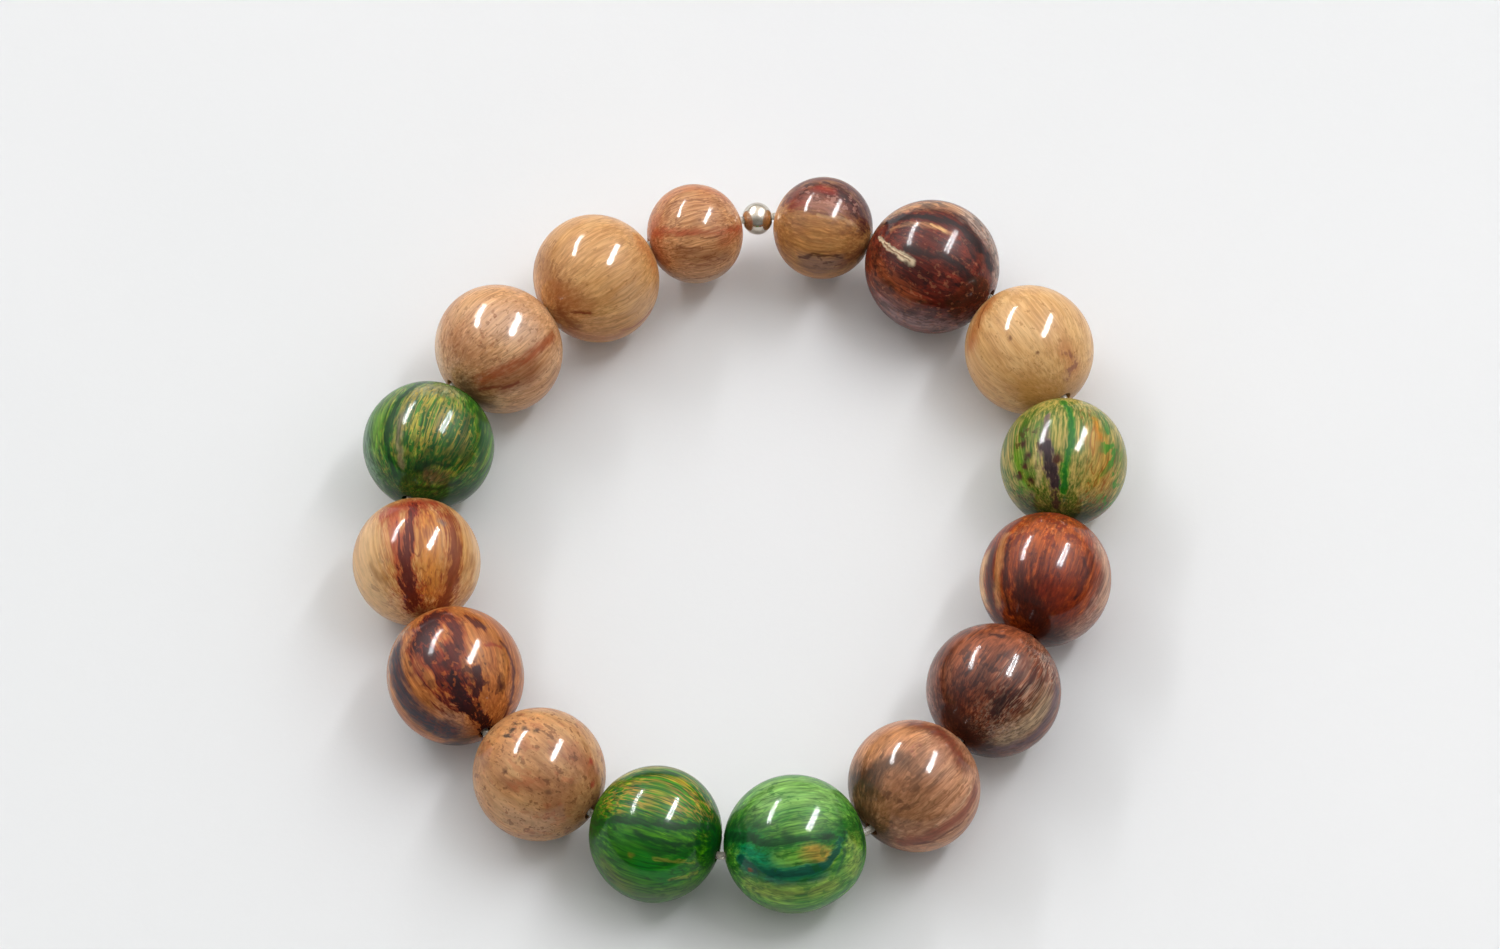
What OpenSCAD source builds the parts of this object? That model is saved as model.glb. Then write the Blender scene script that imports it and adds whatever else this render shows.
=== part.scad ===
// Stretch bracelet: sixteen lacquered wooden beads and one small metal ball, threaded on a
// clear elastic cord. It lies flat as a loose oval loop. Millimetres, +Z up, with the origin
// on the surface that it rests on, under the middle of the loop.

/* [Beads] */
// Diameter of a full-size bead
bead_d = 14; // [13:0.5:16]
// Diameter of the two small beads
small_bead_d = 11; // [9:0.5:12]
// Diameter of the metal ball between the small beads
ball_d = 3.5; // [3.5:0.1:6]
// Diameter of the hole drilled through each bead
bead_hole_d = 1.6; // [1.6:0.1:2.2]
// Diameter of the hole through the metal ball
ball_hole_d = 1.2; // [1.1:0.1:1.4]
// Width of the countersink round each hole
countersink = 0.3; // [0.1:0.05:0.4]
// Free space kept between neighbouring pieces, and between the cord and a hole's wall
gap = 0.1; // [0.08:0.01:0.14]

/* [Loop] */
// Direction of the first bead's hole, in degrees from +X
first_heading = 17; // [-20:1:40]
// How far the cord runs below the middle of a full-size bead
cord_drop = 0.05; // [0:0.01:0.06]
// Thickness of the elastic cord
cord_d = 0.8; // [0.6:0.05:0.8]
// Radius to which the cord bends where it leaves a piece
bend_r = 3; // [2:0.5:4]

/* [Bulge] */
// Diameter of the ball that swells one side of the lopsided bead
bulge_d = 11.6; // [10.8:0.2:11.8]
// How far the bulge stands out of that bead
bulge_out = 0.4; // [0.2:0.1:0.5]
// Direction of the bulge in plan, in degrees from +X
bulge_heading = -16; // [-30:1:-14]
// Direction of the bulge below the horizontal, in degrees
bulge_dip = 8; // [0:1:20]

/* [Hidden] */
$fn = 72;
// The pieces in threading order, clockwise seen from above. The columns are the name, the
// colour, the nominal diameter, how much wider than it the piece is, how much longer the piece
// is along its hole than it is wide, and how many degrees the cord turns clockwise before it.
NAME = 0;
COLOUR = 1;
NOMINAL = 2;
WIDER = 3;
LONGER = 4;
TURN = 5;
PIECES = [
    ["bead_01",    "#C4946B", small_bead_d, -0.2, -0.4, 21],
    ["metal_ball", "#B5AFA3", ball_d,        0.0, -0.2,  8],
    ["bead_02",    "#A5744C", small_bead_d,  0.1, -0.3, 23],
    ["bead_03",    "#6B2E1F", bead_d,        0.4,  0.2, 17],
    ["bead_04",    "#DDB383", bead_d,       -0.2,  0.2, 28],
    ["bead_05",    "#8D9A45", bead_d,       -0.5,  0.4, 35],
    ["bead_06",    "#8F4522", bead_d,       -0.1,  0.4, 11],
    ["bead_07",    "#7E4B33", bead_d,        0.2, -0.3, 18],
    ["bead_08",    "#B98A66", bead_d,        0.0, -0.6, 10],
    ["bead_09",    "#559545", bead_d,        0.3,  0.2, 37],
    ["bead_10",    "#3F7F35", bead_d,        0.2, -0.5, 30],
    ["bead_11",    "#BC8B60", bead_d,       -0.1, -0.1, 19],
    ["bead_12",    "#8A4A30", bead_d,        0.3,  0.4, 24],
    ["bead_13",    "#C58D58", bead_d,       -0.5,  0.1, 18],
    ["bead_14",    "#5F8F43", bead_d,        0.0, -0.3, 25],
    ["bead_15",    "#C59A75", bead_d,        0.1, -0.7, 31],
    ["bead_16",    "#CC9C66", bead_d,        0.0, -0.6,  5],
];
LOPSIDED = "bead_09";

count = len(PIECES);
cord_z = bead_d / 2 - cord_drop;

function before(i) = (i + count - 1) % count;
function after(i) = (i + 1) % count;
function ahead(angle) = [cos(angle), sin(angle)];
function sum(rows) = [for (row = rows) 1] * rows;
function radius(i) = (PIECES[i][NOMINAL] + PIECES[i][WIDER]) / 2;
function half_length(i) = radius(i) + PIECES[i][LONGER] / 2;
function hole_d(i) = PIECES[i][NAME] == "metal_ball" ? ball_hole_d : bead_hole_d;

// A piece that is shorter than wide is flattened: its outline from hole to hole is one arc,
// whose centre lies arc_x from the hole's axis. One that is longer than wide has two ball ends,
// whose centres lie this stretch from its middle. Its surface in a direction at some angle off
// the hole's axis is this reach from its middle.
function flat_half(i) = min(radius(i), half_length(i));
function arc_r(i) = (pow(radius(i), 2) + pow(flat_half(i), 2)) / (2 * radius(i));
function arc_x(i) = radius(i) - arc_r(i);
function stretch(i) = half_length(i) - flat_half(i);
function reach(i, off) = arc_x(i) * sin(off) + stretch(i) * cos(off)
    + sqrt(pow(arc_r(i), 2) - pow(arc_x(i) * cos(off) - stretch(i) * sin(off), 2));

// A piece hangs on the cord as low as its hole lets it, unless it rests on the surface first
function height(i) = max(radius(i), cord_z - (hole_d(i) - cord_d) / 2 + gap);

// How far the ends of two neighbours stand back from the point where their holes would meet,
// so that the gap between the two is the same however far the cord turns there
function standoff(i, headings) =
    let (a = half_length(before(i)), b = half_length(i),
         c = cos(headings[before(i)] - headings[i]),
         apart = reach(before(i), acos(c) / 2) + reach(i, acos(c) / 2) + gap,
         step = height(before(i)) - height(i),
         apart_sq = apart * apart - step * step,
         q = (a * a + b * b + 2 * a * b * c - apart_sq) / (2 + 2 * c))
    (sqrt(pow(a + b, 2) - 4 * q) - a - b) / 2;
function pitch(i, headings) =
    standoff(i, headings) + 2 * half_length(i) + standoff(after(i), headings);

// The turns above are round numbers, so each heading is nudged by a fraction of a degree or
// so, as a cosine wave round the loop, until the last piece meets the first
function close_loop(headings, rounds) =
    rounds == 0 ? headings :
    let (steps = [for (i = [0 : count - 1]) pitch(i, headings)],
         miss = sum([for (i = [0 : count - 1]) steps[i] * ahead(headings[i])]),
         ss = sum([for (i = [0 : count - 1]) steps[i] * pow(sin(headings[i]), 2)]),
         cc = sum([for (i = [0 : count - 1]) steps[i] * pow(cos(headings[i]), 2)]),
         sc = sum([for (i = [0 : count - 1]) steps[i] * sin(2 * headings[i]) / 2]),
         det = sc * sc - ss * cc,
         wave = [miss.x * sc + miss.y * ss, -miss.x * cc - miss.y * sc] * 180 / PI / det)
    close_loop([for (h = headings) h + wave * ahead(h)], rounds - 1);

CLOSING_ROUNDS = 5;
function turned(i) = i == 0 ? 0 : turned(i - 1) + PIECES[i][TURN];
headings = close_loop([for (i = [0 : count - 1]) first_heading - turned(i)], CLOSING_ROUNDS);
standoffs = [for (i = [0 : count - 1]) standoff(i, headings)];
pitches = [for (i = [0 : count - 1]) pitch(i, headings)];

// The cord's corners, and the pieces' middles on the straight runs between them, first with
// the loop starting at [0, 0] and then about the middle of its outline
start_corners = [for (i = 0, p = [0, 0]; i < count;
                      p = p + pitches[i] * ahead(headings[i]), i = i + 1) p];
start_middles = [for (i = [0 : count - 1])
                 start_corners[i] + (standoffs[i] + half_length(i)) * ahead(headings[i])];
low = [for (axis = [0, 1]) min([for (i = [0 : count - 1]) start_middles[i][axis] - radius(i)])];
high = [for (axis = [0, 1]) max([for (i = [0 : count - 1]) start_middles[i][axis] + radius(i)])];
corners = [for (p = start_corners) p - (low + high) / 2];
middles = [for (p = start_middles) p - (low + high) / 2];

// The cord's centre line has three points round each bend, each with its direction in plan
CORD_SIDES = 10;
cord_rings = [for (i = [0 : count - 1])
    let (from = headings[before(i)], to = headings[i] - (i == 0 ? 360 : 0),
         side = sign(from - to),
         bend_start = corners[i] - bend_r * tan(abs(from - to) / 2) * ahead(from),
         bend_middle = bend_start + bend_r * ahead(from - 90 * side))
    for (angle = [from, (from + to) / 2, to])
        [bend_middle + bend_r * ahead(angle + 90 * side), angle]];

module at_middle(i) {
    translate([middles[i].x, middles[i].y, height(i)]) children();
}

// Turns something that points up so that it points along the cord's run through a piece
module along_cord(i) {
    rotate([0, 90, headings[i]]) children();
}

module body_of(i) {
    ends = stretch(i) > 0 ? [-1, 1] : [0];
    for (end = ends) translate([0, 0, end * stretch(i)]) rotate_extrude() intersection() {
        translate([arc_x(i), 0]) circle(arc_r(i));
        translate([0, -bead_d]) square(2 * bead_d);
    }
}

// Hole through a piece, with a 45 degree countersink at both ends that reaches past a bulge
module hole(i) {
    hole_r = hole_d(i) / 2;
    mouth = stretch(i) + sqrt(pow(arc_r(i), 2) - pow(hole_r + countersink - arc_x(i), 2));
    depth = countersink + 2 * bulge_out;
    cylinder(r = hole_r, h = 3 * radius(i), center = true);
    for (end = [0, 1]) mirror([0, 0, end]) translate([0, 0, mouth - countersink])
        cylinder(r1 = hole_r, r2 = hole_r + depth, h = depth);
}

module bead(i) {
    color(PIECES[i][COLOUR]) at_middle(i) along_cord(i) difference() {
        body_of(i);
        hole(i);
    }
}

module lopsided_bead(i) {
    color(PIECES[i][COLOUR]) at_middle(i) difference() {
        union() {
            along_cord(i) body_of(i);
            rotate([0, 90 + bulge_dip, bulge_heading])
                translate([0, 0, radius(i) + bulge_out - bulge_d / 2]) sphere(d = bulge_d);
        }
        along_cord(i) hole(i);
    }
}

module metal_ball(i) {
    color(PIECES[i][COLOUR]) at_middle(i) along_cord(i) difference() {
        body_of(i);
        hole(i);
    }
}

module elastic_cord() {
    total = len(cord_rings) * CORD_SIDES;
    color("#E6E1D6") translate([0, 0, cord_z]) polyhedron(
        points = [for (ring = cord_rings) for (k = [0 : CORD_SIDES - 1])
            let (across = cord_d / 2 * ahead(360 * k / CORD_SIDES))
            concat(ring[0] + across.x * ahead(ring[1] + 90), across.y)],
        faces = [for (start = [0 : CORD_SIDES : total - 1]) for (k = [0 : CORD_SIDES - 1])
            let (next = (k + 1) % CORD_SIDES, onward = (start + CORD_SIDES) % total)
            [start + k, start + next, onward + next, onward + k]]);
}

for (i = [0 : count - 1]) {
    name = PIECES[i][NAME];
    union() {
        if (name == "metal_ball") metal_ball(i);
        else if (name == LOPSIDED) lopsided_bead(i);
        else bead(i);
    }
}
elastic_cord();
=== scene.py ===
from math import asin, cos, pi, radians, sin, sqrt, tan

import bmesh
import bpy
from mathutils import Matrix, Vector, noise


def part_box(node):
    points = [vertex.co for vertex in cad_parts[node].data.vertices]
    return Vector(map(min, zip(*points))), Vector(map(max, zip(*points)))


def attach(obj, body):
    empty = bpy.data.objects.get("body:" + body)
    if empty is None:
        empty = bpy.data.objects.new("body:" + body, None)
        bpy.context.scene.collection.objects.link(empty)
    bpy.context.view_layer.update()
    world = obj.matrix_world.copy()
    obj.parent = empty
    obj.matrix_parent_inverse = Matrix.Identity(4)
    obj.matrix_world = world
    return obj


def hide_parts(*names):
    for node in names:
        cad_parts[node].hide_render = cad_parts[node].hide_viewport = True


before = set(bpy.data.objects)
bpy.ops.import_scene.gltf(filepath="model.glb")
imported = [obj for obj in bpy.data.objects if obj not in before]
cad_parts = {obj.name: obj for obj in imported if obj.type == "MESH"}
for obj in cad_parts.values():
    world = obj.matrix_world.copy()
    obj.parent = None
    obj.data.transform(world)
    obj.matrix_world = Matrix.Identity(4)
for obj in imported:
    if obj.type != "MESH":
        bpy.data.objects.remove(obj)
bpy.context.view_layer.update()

# The camera looks down on the bracelet from in front, 28 degrees off the vertical, through a
# long lens, so that every bead shows as a nearly round disc.
MM = 0.001
CAMERA_AT = Vector((0.91, -315.9, 615.5)) * MM
CAMERA_AIM = Vector((0.91, 10.87, 0)) * MM
LENS_MM = 156
camera_data = bpy.data.cameras.new("camera")
camera_data.lens = LENS_MM
camera = bpy.data.objects.new("camera", camera_data)
camera.location = CAMERA_AT
camera.rotation_euler = (CAMERA_AIM - CAMERA_AT).to_track_quat("-Z", "Y").to_euler()
bpy.context.scene.collection.objects.link(camera)
bpy.context.scene.camera = camera

# The first small bead, beside the metal ball at the far side of the loop: a drilled wooden ball
# wrapped from hole to hole in strips of plant bark, under a thick clear lacquer. This one is
# peach-tan, with a red-brown streak along its middle.
BEAD_HOLE = 1.6 * MM
LIP = 0.06 * MM
DIP = 0.02 * MM
DIPS_A_RADIUS = 1.7
SIDES = 168
SKIN_RINGS = 52
LIP_RINGS = 5
DEEP_IN_HOLE = 0.8


def bead_outline(half_width, half_length, hole_r):
    """Half of a drilled bead's outline, from waist to hole: (off the hole's axis, along it)."""
    mouth = asin((hole_r + LIP) / (half_width - LIP))
    skin = [pi / 2 - (pi / 2 - mouth) * k / SKIN_RINGS for k in range(SKIN_RINGS)]
    lip = [mouth - (mouth + pi / 2) * k / LIP_RINGS for k in range(LIP_RINGS + 1)]
    return ([(half_width * sin(a), half_length * cos(a)) for a in skin]
            + [(hole_r + LIP + LIP * sin(a), (half_length - LIP) * cos(mouth) + LIP * cos(a))
               for a in lip])


def ring_quads(rings, sides):
    """Faces between rings of points, the last ring joined to the first."""
    return [(j * sides + k, j * sides + (k + 1) % sides,
             (j + 1) % rings * sides + (k + 1) % sides, (j + 1) % rings * sides + k)
            for j in range(rings) for k in range(sides)]


def drilled(name, middle, heading, half_width, half_length, hole_r, reshape):
    """A drilled ball. Its own X points out of the loop, Y up and Z along the hole."""
    half = bead_outline(half_width, half_length, hole_r)
    rings = half + [(off, -along) for off, along in reversed(half[1:])]
    points = [reshape(Vector((off * cos(turn), off * sin(turn), along)))
              for off, along in rings
              for turn in (2 * pi * k / SIDES for k in range(SIDES))]
    mesh = bpy.data.meshes.new(name)
    mesh.from_pydata(points, [], ring_quads(len(rings), SIDES))
    shape = bmesh.new()
    shape.from_mesh(mesh)
    bmesh.ops.recalc_face_normals(shape, faces=shape.faces)
    shape.to_mesh(mesh)
    shape.free()
    mesh.polygons.foreach_set("use_smooth", [True] * len(mesh.polygons))
    ball = bpy.data.objects.new(name, mesh)
    ahead = radians(heading)
    axes = Matrix(((-sin(ahead), 0, cos(ahead)), (cos(ahead), 0, sin(ahead)), (0, 1, 0)))
    ball.matrix_world = Matrix.Translation(middle) @ axes.to_4x4()
    bpy.context.scene.collection.objects.link(ball)
    return ball


def lacquered_bead(node, heading, longer, bulge=None):
    """A bead that stands for its CAD node, whose lacquer dips a little here and there."""
    low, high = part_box(node)
    half_width = (high.z - low.z) / 2
    half_length = half_width + longer * MM / 2
    middle = (low + high) / 2
    # A bulge widens the node's box to the right only, so the middle is placed from its low corner
    if bulge:
        middle = low + Vector((half_length, half_width, half_width))

    def reshape(point):
        if point.length < DEEP_IN_HOLE * half_length:
            return point
        way = point.normalized()
        reach = point.length - DIP * (0.5 + noise.noise(way * DIPS_A_RADIUS + middle / MM))
        if bulge:
            reach = bulge(way, reach, half_width)
        return way * reach

    bead = drilled("lacquered_" + node, middle, heading, half_width, half_length,
                   BEAD_HOLE / 2, reshape)
    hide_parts(node)
    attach(bead, "root")
    return bead


def dye(code):
    """A colour from its six sRGB digits."""
    parts = [int(code[k:k + 2], 16) / 255 for k in (0, 2, 4)]
    return tuple(p / 12.92 if p <= 0.04045 else ((p + 0.055) / 1.055) ** 2.4
                 for p in parts) + (1,)


def put(tree, kind, inputs, **settings):
    """Puts a node in a tree, and gives each of the inputs a value or a link."""
    made = tree.nodes.new("ShaderNode" + kind)
    for setting, value in settings.items():
        setattr(made, setting, value)
    for socket, value in inputs.items():
        if isinstance(value, bpy.types.NodeSocket):
            tree.links.new(value, made.inputs[socket])
        else:
            made.inputs[socket].default_value = value
    return made


def number_of(tree, operation, a, b=0.0):
    """The result of an operation on one or two numbers."""
    return put(tree, "Math", {0: a, 1: b}, operation=operation).outputs[0]


def vector_of(tree, operation, a, b=(0, 0, 0)):
    """The result of an operation on one or two directions: a number or a direction."""
    made = put(tree, "VectorMath", {0: a, 1: b}, operation=operation)
    single = operation in ("DOT_PRODUCT", "DISTANCE", "LENGTH")
    return made.outputs["Value" if single else "Vector"]


def scaled(tree, a, factor):
    return put(tree, "VectorMath", {0: a, "Scale": factor}, operation="SCALE").outputs[0]


def eased(tree, value, start, end, low=0.0, high=1.0):
    """low at start, high at end, and a smooth way between them."""
    return put(tree, "MapRange", {0: value, 1: start, 2: end, 3: low, 4: high},
               interpolation_type="SMOOTHSTEP").outputs[0]


def blended(tree, cover, below, above, how="MIX"):
    return put(tree, "Mix", {0: cover, 6: below, 7: above},
               data_type="RGBA", blend_type=how).outputs[2]


def grain(tree, place, seed, scale, detail, rough=0.6, output=0):
    """A noise from 0 to 1 about a place, or with output 1 its three-part form."""
    moved = vector_of(tree, "ADD", place, (2.3 * seed, -1.7 * seed, 3.1 * seed))
    return put(tree, "TexNoise", {"Vector": moved, "Scale": scale, "Detail": detail,
                                  "Roughness": rough}).outputs[output]


# How much of a point of the skin a stroke covers, where both ends of the stroke and the point
# are directions from the bead's middle. Fray moves the stroke's edge in and out.
stroke_tree = bpy.data.node_groups.new("stroke", "ShaderNodeTree")
for label, kind in (("Place", "Vector"), ("Fray", "Float"), ("From", "Vector"), ("To", "Vector"),
                    ("From Half", "Float"), ("To Half", "Float"), ("Soft", "Float")):
    stroke_tree.interface.new_socket(label, in_out="INPUT", socket_type="NodeSocket" + kind)
stroke_tree.interface.new_socket("Cover", in_out="OUTPUT", socket_type="NodeSocketFloat")
given = stroke_tree.nodes.new("NodeGroupInput").outputs
run = vector_of(stroke_tree, "SUBTRACT", given["To"], given["From"])
into = vector_of(stroke_tree, "SUBTRACT", given["Place"], given["From"])
share = put(stroke_tree, "Math", {
    0: vector_of(stroke_tree, "DOT_PRODUCT", into, run),
    1: vector_of(stroke_tree, "DOT_PRODUCT", run, run)}, operation="DIVIDE", use_clamp=True)
nearest = vector_of(stroke_tree, "NORMALIZE", vector_of(
    stroke_tree, "ADD", given["From"], scaled(stroke_tree, run, share.outputs[0])))
off = number_of(stroke_tree, "ADD", given["Fray"],
                vector_of(stroke_tree, "DISTANCE", given["Place"], nearest))
half = put(stroke_tree, "MapRange", {0: share.outputs[0], 3: given["From Half"],
                                     4: given["To Half"]}).outputs[0]
cover = eased(stroke_tree, number_of(stroke_tree, "DIVIDE", off, half),
              number_of(stroke_tree, "ADD", 1.0, given["Soft"]),
              number_of(stroke_tree, "SUBTRACT", 1.0, given["Soft"]))
stroke_tree.links.new(cover, stroke_tree.nodes.new("NodeGroupOutput").inputs["Cover"])


class BarkAndPaintedLight:
    """The finish of one bead. Broad stains, strips and fine fibres of the pale and deep colours
    lie over the ground at the strengths given. The marks are placed by (u, v) on the disc that
    the camera sees, u to the right and v up, in bead radii from the middle. The far side mirrors
    them. On some beads the marks also include painted shade and painted reflections."""

    def __init__(self, bead, seed, ground, pale, deep, broad=0.5, strips=0.5, fine=0.5,
                 fineness=16.0):
        self.bead, self.seed = bead, seed
        self.material = bpy.data.materials.new(bead.name)
        self.material.use_nodes = True
        self.tree = tree = self.material.node_tree
        tree.nodes.clear()
        self.toward = (CAMERA_AT - bead.location).normalized()
        self.right = Vector((1, 0, 0))
        self.right = (self.right - self.toward * self.right.dot(self.toward)).normalized()
        self.up = self.toward.cross(self.right)
        self.axes = bead.matrix_world.to_3x3().transposed()

        skin = vector_of(tree, "NORMALIZE", put(tree, "TexCoord", {}).outputs["Object"])
        self.skin = self.stirred(skin, 1.7, 2, 0.1)
        self.place = self.folded(self.stirred(skin, 5.0, 2, 0.13))

        # Fibres run from hole to hole: their noises change fast round the hole's axis and hardly
        # along it, and the fibres draw together towards the hole
        level = vector_of(tree, "MULTIPLY", self.skin, (1, 1, 0))
        narrowing = number_of(tree, "POWER", vector_of(tree, "LENGTH", level), -0.5)
        self.fibre = vector_of(tree, "ADD", scaled(tree, level, narrowing),
                               vector_of(tree, "MULTIPLY", self.skin, (0, 0, 0.055)))
        self.lines = grain(tree, self.fibre, seed, fineness, 3, 0.58)
        self.fray = number_of(tree, "SUBTRACT",
                              grain(tree, self.fibre, seed + 7, 11.0, 3, 0.7), 0.5)
        self.flecks = grain(tree, vector_of(tree, "MULTIPLY", self.skin, (1, 1, 0.25)),
                            seed + 9, 10.0, 3, 0.7)
        strip = grain(tree, self.fibre, seed + 5, 4.5, 2)
        self.stain = grain(tree, vector_of(tree, "MULTIPLY", self.skin, (1, 1, 0.5)),
                           seed + 3, 2.4, 3, 0.6)

        self.colour = blended(tree, eased(tree, self.stain, 0.48, 0.66, 0, broad), dye(ground),
                              dye(pale))
        for noise_of, share in ((self.stain, broad), (strip, strips), (self.lines, fine)):
            self.paint(deep, eased(tree, noise_of, 0.54, 0.3), share)
        for noise_of, share in ((strip, strips), (self.lines, fine)):
            self.paint(pale, eased(tree, noise_of, 0.46, 0.7), share)

    def stirred(self, skin, scale, detail, reach):
        """The place on the skin, moved about by up to a quarter of the reach or so."""
        stir = vector_of(self.tree, "SUBTRACT",
                         grain(self.tree, skin, self.seed + scale, scale, detail, output=1),
                         (0.5, 0.5, 0.5))
        return vector_of(self.tree, "ADD", skin, scaled(self.tree, stir, reach))

    def seen(self, u, v):
        """The direction, in the bead's own axes, of the place that shows at (u, v)."""
        depth = sqrt(max(0.0, 1 - u * u - v * v))
        return (self.axes @ (self.right * u + self.up * v + self.toward * depth)).normalized()

    def folded(self, skin):
        """The place on the near side that a place on the far side takes its marks from."""
        side = self.axes @ self.toward
        side = Vector((side.x, side.y, 0)).normalized()
        depth = vector_of(self.tree, "DOT_PRODUCT", skin, tuple(side))
        spare = number_of(self.tree, "SUBTRACT", number_of(self.tree, "ABSOLUTE", depth), depth)
        shift = scaled(self.tree, tuple(side + Vector((0, 0, 0.2))), spare)
        return vector_of(self.tree, "NORMALIZE", vector_of(self.tree, "ADD", skin, shift))

    def paint(self, tint, cover, strength):
        self.colour = blended(self.tree, number_of(self.tree, "MULTIPLY", cover, strength),
                              self.colour, dye(tint))

    def covered(self, points, width, soft, fray):
        """How much of the skin a strip through the points covers. It is as wide as the width,
        or widens from one width to another."""
        tree = self.tree
        first, last = width if isinstance(width, tuple) else (width, width)
        spans = list(zip(points, points[1:])) or [(points[0], points[0])]
        frayed = number_of(tree, "MULTIPLY", self.fray, fray * (first + last) / 2)
        cover = None
        for k, (start, end) in enumerate(spans):
            dab = put(tree, "Group", {}, node_tree=stroke_tree)
            tree.links.new(self.place, dab.inputs["Place"])
            tree.links.new(frayed, dab.inputs["Fray"])
            dab.inputs["From"].default_value = self.seen(*start)
            dab.inputs["To"].default_value = self.seen(*end)
            for socket, at in (("From Half", k), ("To Half", k + 1)):
                dab.inputs[socket].default_value = (first + (last - first) * at / len(spans)) / 2
            dab.inputs["Soft"].default_value = soft
            cover = number_of(tree, "MAXIMUM", cover, dab.outputs[0]) if cover else dab.outputs[0]
        return cover

    def streak(self, tint, points, width, soft=0.6, fray=1.6, strength=0.9, fringe=None):
        """A strip through the points, with a fringe of another tint if there is one. Most are
        bark;
        some that patch lays are painted shade or painted reflections.
        """
        cover = self.covered(points, width, soft, fray)
        if fringe:
            self.paint(fringe, eased(self.tree, cover, 0.0, 0.5), 0.8 * strength)
            cover = eased(self.tree, cover, 0.4, 0.85)
        self.paint(tint, cover, strength)

    def patch(self, tint, points, width, strength=0.7):
        """A mark with a soft edge: mostly a stain of the bark, on some beads painted shade or a
        painted reflection.
        """
        self.streak(tint, points, width, 0.95, 1.2, strength)

    def spots(self, tint, points, width, strength=0.8):
        """Small marks, one at each point."""
        for point in points:
            self.streak(tint, [point], width, 0.8, 1.2, strength)

    def hairs(self, tint, scale, width, strength=0.6, along=None, reach=0.6):
        """Thin broken fibres all over, or only along some points as far as the reach."""
        tree = self.tree
        level = number_of(tree, "SUBTRACT",
                          grain(tree, self.fibre, self.seed + 11, scale, 2, 0.5), 0.5)
        hair = eased(tree, number_of(tree, "ABSOLUTE", level), width, 0)
        hair = number_of(tree, "MULTIPLY", hair, eased(tree, self.stain, 0.36, 0.52, 0.25, 1))
        if along:
            hair = number_of(tree, "MULTIPLY", hair, self.covered(along, reach, 0.95, 1.0))
        self.paint(tint, hair, strength)

    def specks(self, tint, scale, above, strength=0.7, along=None, reach=0.6):
        """Irregular specks where a noise is above a level, all over or only along points."""
        tree = self.tree
        bits = grain(tree, vector_of(tree, "MULTIPLY", self.skin, (1, 1, 0.7)), self.seed + 13,
                     scale, 2, 0.6)
        cover = eased(tree, bits, above, above + 0.06)
        if along:
            cover = number_of(tree, "MULTIPLY", cover, self.covered(along, reach, 0.95, 1.0))
        self.paint(tint, cover, strength)

    def lacquer(self, contrast=0.18, mottle=0.12, uneven=0.02, coat_rough=0.08, depth=1.0):
        """The fibres' shades over everything, the depth of the colours, and the clear coat. A
        larger uneven makes the coat wavier."""
        tree = self.tree
        fibrous = put(tree, "MapRange", {0: self.lines, 1: 0.3, 2: 0.7, 3: 1 - contrast,
                                         4: 1 + contrast}, clamp=False).outputs[0]
        flecked = put(tree, "MapRange", {0: self.flecks, 1: 0.3, 2: 0.7, 3: 1 - mottle,
                                         4: 1 + mottle}, clamp=False).outputs[0]
        tone = number_of(tree, "MULTIPLY", fibrous, flecked)
        colour = put(tree, "HueSaturation", {
            "Saturation": depth, "Color": blended(tree, 1.0, self.colour, tone, "MULTIPLY")})
        ridged = put(tree, "Bump", {"Height": self.lines, "Strength": 0.25,
                                    "Distance": 0.1 * MM})
        wavy = put(tree, "Bump", {"Height": self.flecks, "Strength": uneven,
                                  "Distance": 0.1 * MM})
        shader = put(tree, "BsdfPrincipled", {
            "Base Color": colour.outputs[0],
            "Roughness": eased(tree, self.lines, 0.3, 0.7, 0.42, 0.6),
            "IOR": 1.45, "Specular IOR Level": 0.05, "Normal": ridged.outputs[0],
            "Coat Weight": 0.55, "Coat Roughness": coat_rough, "Coat IOR": 1.5,
            "Coat Normal": wavy.outputs[0]})
        put(tree, "OutputMaterial", {"Surface": shader.outputs[0]})
        self.bead.data.materials.append(self.material)


bead_01 = lacquered_bead("bead_01", heading=16.8, longer=-0.4)
peach = BarkAndPaintedLight(bead_01, 1, ground="C28654", pale="D8A978", deep="9C5E38", broad=0.4, strips=0.35,
             fine=0.45, fineness=26)
peach.patch("B0603A", [(-0.85, 0.2), (-0.75, -0.45)], 0.5)
peach.patch("B86838", [(-0.6, 0.72), (0, 0.92), (0.6, 0.75)], 0.26)
peach.patch("9A6844", [(-0.3, -0.4), (0.6, -0.42)], 0.3)
# Painted reflection: the pale floor mirrored low on the bead, as a greyish-pale band.
peach.patch("B2977A", [(-0.5, -0.85), (0.5, -0.85)], 0.5)
peach.patch("A85430", [(0.6, -0.1), (0.9, 0.05)], 0.3)
peach.streak("A8482A", [(-0.85, 0), (-0.45, 0.04), (-0.1, 0.01), (0.4, 0.03), (0.96, 0.14)],
             (0.16, 0.12), soft=0.95, strength=0.75)
peach.hairs("7A4020", 14, 0.07, 0.5)
peach.streak("7A4022", [(0.1, -0.48), (0.34, -0.46), (0.6, -0.52)], 0.04, soft=0.95, strength=0.6)
peach.streak("7A4022", [(-0.1, -0.62), (0.3, -0.62)], 0.04, soft=0.95, strength=0.6)
for line in ([(0.02, -0.06), (0.3, -0.09), (0.62, -0.03)],
             [(-0.5, 0.6), (0, 0.68), (0.5, 0.58)],
             [(-0.3, 0.42), (0.1, 0.46), (0.5, 0.4)],
             [(-0.75, -0.28), (-0.3, -0.3), (0.1, -0.26)]):
    peach.streak("723A1E", line, 0.03, soft=0.95, fray=4.0, strength=0.6)
peach.specks("7A4426", 12, 0.6, 0.5)
peach.lacquer()

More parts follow.
